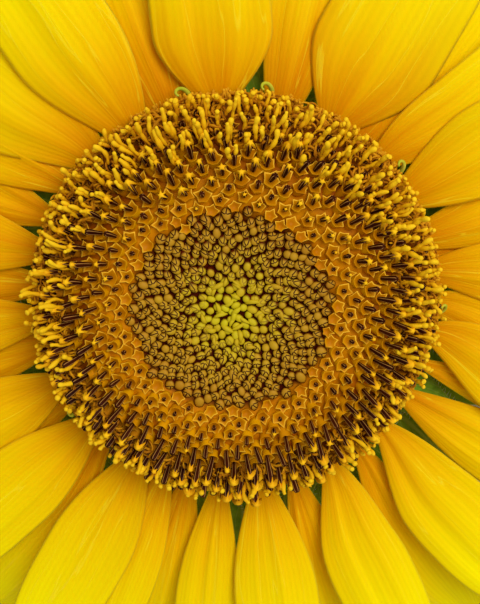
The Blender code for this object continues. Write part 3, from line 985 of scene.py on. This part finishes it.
def bed_finish():
    """Packed floret bases: brown shadow under the buds, smooth orange swellings round them."""
    material, add, shader = new_material("packed_floret_bases")
    run = add("Attribute", attribute_name="run", output="Fac")
    place = add("TexCoord", output="Object")
    mottle = add("TexNoise", {"Vector": place, "Scale": MOTTLE_3_1_MM, "Detail": 2.0})
    moved = add("Math", {0: mottle, 1: 5.0, 2: run}, operation="MULTIPLY_ADD")
    share = add("MapRange", {"Value": moved, "From Min": 2.5, "From Max": 62.5})
    colour = add(
        "ValToRGB", {"Fac": share},
        stops=[
            (0.0, "#4C1200"), (0.42, "#4C1000"), (0.46, "#BC7000"), (0.52, "#C88000"),
            (0.6, "#B66C00"), (0.68, "#984A00"), (0.82, "#8A4404"), (0.92, "#7E5210"),
        ],
    )
    bump = add("Bump", {"Height": mottle, "Strength": 0.4, "Distance": 0.0008})
    set_skin(shader, colour, bump, 0.5, 0.03)
    return material


def anther_finish():
    """Anther tubes: five fused, purple-black sacs with a thin, paler seam along each rib."""
    material, add, shader = new_material("anther_tube_dry_sacs")
    rib, tint = (add("Attribute", attribute_name=mark, output="Fac") for mark in ("rib", "tint"))
    base = add("ValToRGB", {"Fac": tint}, stops=[(0.0, "#260500"), (1.0, "#3E1200")])
    seam = add("MapRange", {"Value": rib, "From Min": 0.72, "From Max": 0.9, "To Max": 0.85})
    seamed = add("Mix", {0: seam, 6: base, 7: linear("#B88440")}, data_type="RGBA", output=2)
    bump = add("Bump", {"Height": rib, "Strength": 0.5, "Distance": 0.0002})
    set_skin(shader, seamed, bump, 0.5, 0.05)
    return material


def velvet_finish(name, colours, bump_strength):
    """Pollen-dusted or velvety tissue: matte, grainy at about half a millimetre.

    Real pollen is far finer, and is drawn this coarse so that it shows.
    """
    material, add, shader = new_material(name)
    along, tint = (
        add("Attribute", attribute_name=mark, output="Fac") for mark in ("along", "tint")
    )
    place = add("TexCoord", output="Object")
    grain = add("TexNoise", {"Vector": place, "Scale": GRAIN_0_45_MM, "Detail": 2.0})
    tinted = add("Math", {0: tint, 1: 0.35, 2: along}, operation="MULTIPLY_ADD")
    mixed = add("Math", {0: grain, 1: 0.3, 2: tinted}, operation="MULTIPLY_ADD")
    share = add("MapRange", {"Value": mixed, "From Min": 0.15, "From Max": 1.5})
    steps = [(i / (len(colours) - 1), colour) for i, colour in enumerate(colours)]
    colour = add("ValToRGB", {"Fac": share}, stops=steps)
    bump = add("Bump", {"Height": grain, "Strength": bump_strength, "Distance": 0.0002})
    set_skin(shader, colour, bump, 0.65, 0.06)
    return material


def bract_finish():
    """Green bract: a matte leaf with a pale midrib, curved side veins and a pale margin."""
    material, add, shader = new_material("bract_matte_leaf")
    across, along, tint = (
        add("Attribute", attribute_name=mark, output="Fac") for mark in ("across", "along", "tint")
    )
    place = add("TexCoord", output="Object")
    mottle = add("TexNoise", {"Vector": place, "Scale": MOTTLE_2_6_MM, "Detail": 4.0})
    mixed = add("Math", {0: tint, 1: 0.4, 2: mottle}, operation="MULTIPLY_ADD")
    colour = add(
        "ValToRGB", {"Fac": mixed}, stops=[(0.3, "#4C7410"), (0.6, "#6A941A"), (0.95, "#8CB42A")]
    )
    away = add("Math", {0: across}, operation="ABSOLUTE")
    vein_run = add("Math", {0: away, 1: -0.35, 2: along}, operation="MULTIPLY_ADD")
    vein_wave = add("Math", {0: vein_run, 1: 60.0}, operation="MULTIPLY")
    vein_sine = add("Math", {0: vein_wave}, operation="SINE")
    vein = add("MapRange", {"Value": vein_sine, "From Min": 0.8, "From Max": 1.0, "To Max": 0.35})
    midrib = add(
        "MapRange", {"Value": away, "From Min": 0.03, "From Max": 0.1, "To Min": 0.7, "To Max": 0.0}
    )
    margin = add("MapRange", {"Value": away, "From Min": 0.9, "From Max": 0.99, "To Max": 0.6})
    ribs = add("Math", {0: vein, 1: midrib}, operation="MAXIMUM")
    pale = add("Math", {0: ribs, 1: margin}, operation="MAXIMUM")
    veined = add("Mix", {0: pale, 6: colour, 7: linear("#A8BE50")}, data_type="RGBA", output=2)
    bump = add("Bump", {"Height": pale, "Strength": 0.5, "Distance": 0.0004})
    grained = add("Bump", {"Height": mottle, "Strength": 0.3, "Distance": 0.0005, "Normal": bump})
    set_skin(shader, veined, grained, 0.6, 0.1)
    return material


def flesh_finish(name, dark, light):
    """Green plant flesh: matte skin, mottled at about 3 mm and streaked lengthwise."""
    material, add, shader = new_material(name)
    place = add("TexCoord", output="Object")
    mottle = add("TexNoise", {"Vector": place, "Scale": MOTTLE_3_3_MM, "Detail": 4.0})
    axes = add("SeparateXYZ", {0: place}).node.outputs
    angle = add("Math", {0: axes["Y"], 1: axes["X"]}, operation="ARCTAN2")
    wave = add("Math", {0: angle, 1: 51.0}, operation="MULTIPLY")
    streak = add("Math", {0: wave}, operation="SINE")
    mixed = add("Math", {0: streak, 1: 0.12, 2: mottle}, operation="MULTIPLY_ADD")
    colour = add("ValToRGB", {"Fac": mixed}, stops=[(0.3, dark), (0.72, light)])
    bump = add("Bump", {"Height": mixed, "Strength": 0.4, "Distance": 0.0006})
    set_skin(shader, colour, bump, 0.6, 0.1)
    return material


def plain_finish(name, colour, roughness):
    """A matte finish with a faint mottle, for hairs and for the floor."""
    material, add, shader = new_material(name)
    place = add("TexCoord", output="Object")
    mottle = add("TexNoise", {"Vector": place, "Scale": CLOUD_25_MM})
    shade = add("MapRange", {"Value": mottle, "To Min": 0.96, "To Max": 1.0})
    mixed = add("VectorMath", {0: linear(colour)[:3], "Scale": shade}, operation="SCALE")
    material.node_tree.links.new(mixed, shader.inputs["Base Color"])
    shader.inputs["Roughness"].default_value = roughness
    return material


# The scene


def add_disc():
    """All of the disc: buds, open and spent florets, anthers, stigmas, rim and bed."""
    r, angle = spiral()
    ripe = r + RANDOM.normal(0, 0.8, len(r)) > BUD_RADIUS
    bud_skin = bud_finish()
    buds = add_buds(bud_skin, r[~ripe], angle[~ripe])
    add_wisps(bud_skin)
    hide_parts("florets_in_bud")

    fresh = ripe & (r < SPENT_RADIUS)
    corolla = corolla_finish("open_corolla_satin", ("#BA7000", "#D89600"), "#F0B42A", "#B66E00")
    cups = add_corollas(
        "open_corollas", corolla, r[fresh], angle[fresh],
        width=np.interp(r[fresh], (27, 30, 40), (3.4, 4.3, 4.3))[:, None, None],
        depth=np.interp(r[fresh], (27, 36, 45), (2.5, 4.0, 5.5))[:, None, None],
    )
    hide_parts("florets_opening")

    older = r >= SPENT_RADIUS
    spent = corolla_finish("spent_corolla_satin", ("#8A4A04", "#B87408"), "#CC9018", "#5A2404")
    add_corollas(
        "spent_corollas", spent, r[older], angle[older],
        width=np.full((int(older.sum()), 1, 1), 3.5), depth=np.full((int(older.sum()), 1, 1), 5.0),
    )

    with_anthers = r > YOUNG_ANTHER_RADIUS
    pollen = velvet_finish("pollen_dusted_tips", ("#D88404", "#EDA30C", "#F6BE14"), 0.5)
    add_anthers(anther_finish(), pollen, r[with_anthers], angle[with_anthers])
    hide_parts("florets_with_anthers")

    branched = ripeness(r, angle) > STIGMA_RADIUS
    twice = branched & (RANDOM.uniform(0, 1, len(r)) < 0.9)
    thrice = twice & (RANDOM.uniform(0, 1, len(r)) < 0.45)
    stigma = velvet_finish("stigma_velvet", ("#BC7404", "#E2AA08", "#F2C61A"), 0.5)
    clubs = add_stigmas(
        stigma, np.concatenate([r[branched], r[twice], r[thrice] + 1.0]),
        np.concatenate([angle[branched], angle[twice] + 0.022, angle[thrice] - 0.02]),
    )
    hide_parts("florets_with_stigmas")
    withered = velvet_finish("withered_style_tissue", ("#8E4C0A", "#C07E0C", "#DEA014"), 0.3)
    add_curls(withered)
    add_rim(withered)
    add_bed(bed_finish())


def add_petals():
    """One petal for each packed petal."""
    finish = petal_finish()
    for name in sorted(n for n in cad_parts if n.startswith("petal_")):
        add_petal("ray_" + name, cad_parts[name], finish)


def node_azimuth(node):
    """Direction of a packed bract's tip, which is its furthest point from the axis."""
    x, y, _ = packed_points(node)
    r = np.hypot(x, y)
    tip = r > r.max() - 0.0003
    return math.atan2(y[tip].mean(), x[tip].mean())


def add_bracts():
    """One bract for each packed bract and a middle row between; gives every blade's rings."""
    finish = bract_finish()
    blades = []
    for name in sorted(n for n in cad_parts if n.startswith("bract_")):
        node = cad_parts[name]
        series = name.rsplit("_", 1)[0]
        blades.append(add_bract("leafy_" + name, series, node_azimuth(node), finish, node)[1])
    for number, direction in enumerate(MIDDLE_BRACTS, 1):
        name = f"leafy_bract_middle_{number:02d}"
        blades.append(add_bract(name, "bract_middle", math.radians(direction), finish)[1])
    return np.array(blades)


def add_all_hairs(blades):
    """Hairs on the bracts' edges and undersides, and all round the stem."""
    hair = plain_finish("plant_hair", "#DDE3B8", 0.6)
    columns = blades.shape[2]
    edge = blades[:, 4:-2, [0, columns // 2]].reshape(-1, 3)
    centre = blades[:, 4:-2, [columns // 4]].repeat(2, axis=2).reshape(-1, 3)
    outward = edge - centre
    outward /= np.linalg.norm(outward, axis=-1, keepdims=True) + 1e-9
    outward += RANDOM.normal(0, 0.25, outward.shape)
    add_hairs("bract_edge_hairs", edge, outward, RANDOM.uniform(0.7, 1.5, len(edge)), hair, "bract")
    count = 900
    turn = RANDOM.uniform(0, TAU, count)
    height = RANDOM.uniform(0.6, STEM_LENGTH - 1.0, count)
    radial = xyz(np.cos(turn), np.sin(turn), RANDOM.normal(0, 0.2, count))
    roots = xyz(STEM_RADIUS * np.cos(turn), STEM_RADIUS * np.sin(turn), height)
    add_hairs("stem_hairs", roots, radial, RANDOM.uniform(0.9, 1.8, count), hair, "stem")


def add_floor():
    """A wide, plain, pale floor at the height that the stem's cut end rests on."""
    mesh = bpy.data.meshes.new("floor")
    side = 30.0
    corners = [(-side, -side, 0), (side, -side, 0), (side, side, 0), (-side, side, 0)]
    mesh.from_pydata(corners, [], [(0, 1, 2, 3)])
    floor = bpy.data.objects.new("floor", mesh)
    mesh.materials.append(plain_finish("studio_paper", "#E4E2DC", 0.85))
    bpy.context.scene.collection.objects.link(floor)


def add_light():
    """A bright, even sky of white card, and one wide soft lamp high up on the right."""
    world = bpy.data.worlds.new("studio")
    bpy.context.scene.world = world
    world.use_nodes = True
    background = world.node_tree.nodes["Background"]
    background.inputs["Color"].default_value = (1.0, 1.0, 1.0, 1.0)
    background.inputs["Strength"].default_value = 0.5
    lamp = bpy.data.lights.new("soft_box", "AREA")
    lamp.shape = "DISK"
    lamp.size = 0.9
    lamp.energy = 12.3
    soft_box = bpy.data.objects.new("soft_box", lamp)
    soft_box.location = (0.45, 0.55, 1.1)
    bpy.context.scene.collection.objects.link(soft_box)
    aim = -soft_box.location
    soft_box.rotation_euler = aim.to_track_quat("-Z", "Y").to_euler()


def add_camera():
    """Looks almost straight down on the disc, from a little above its upper edge."""
    camera = bpy.data.cameras.new("camera")
    camera.sensor_fit = "VERTICAL"
    camera.angle = math.radians(30.1)
    camera.clip_start = 0.01
    obj = bpy.data.objects.new("camera", camera)
    lean = math.radians(12.0)
    distance = 300.0
    target = (1.1, 0.1, 48.0)
    obj.location = (
        target[0] * MM, (target[1] + distance * math.sin(lean)) * MM,
        (target[2] + distance * math.cos(lean)) * MM,
    )
    obj.rotation_euler = (-lean, 0.0, 0.0)
    bpy.context.scene.collection.objects.link(obj)
    bpy.context.scene.camera = obj


add_disc()
add_petals()
add_all_hairs(add_bracts())
add_curled_tips(flesh_finish("curled_tip_pale_flesh", "#A8B020", "#D2CE3C"))
add_receptacle(flesh_finish("receptacle_green_flesh", "#5F7F2A", "#8BA64C"))
add_stem(flesh_finish("stem_green_skin", "#6C8A38", "#9DB368"))
add_floor()
add_light()
add_camera()
bpy.context.scene.view_settings.view_transform = "Standard"
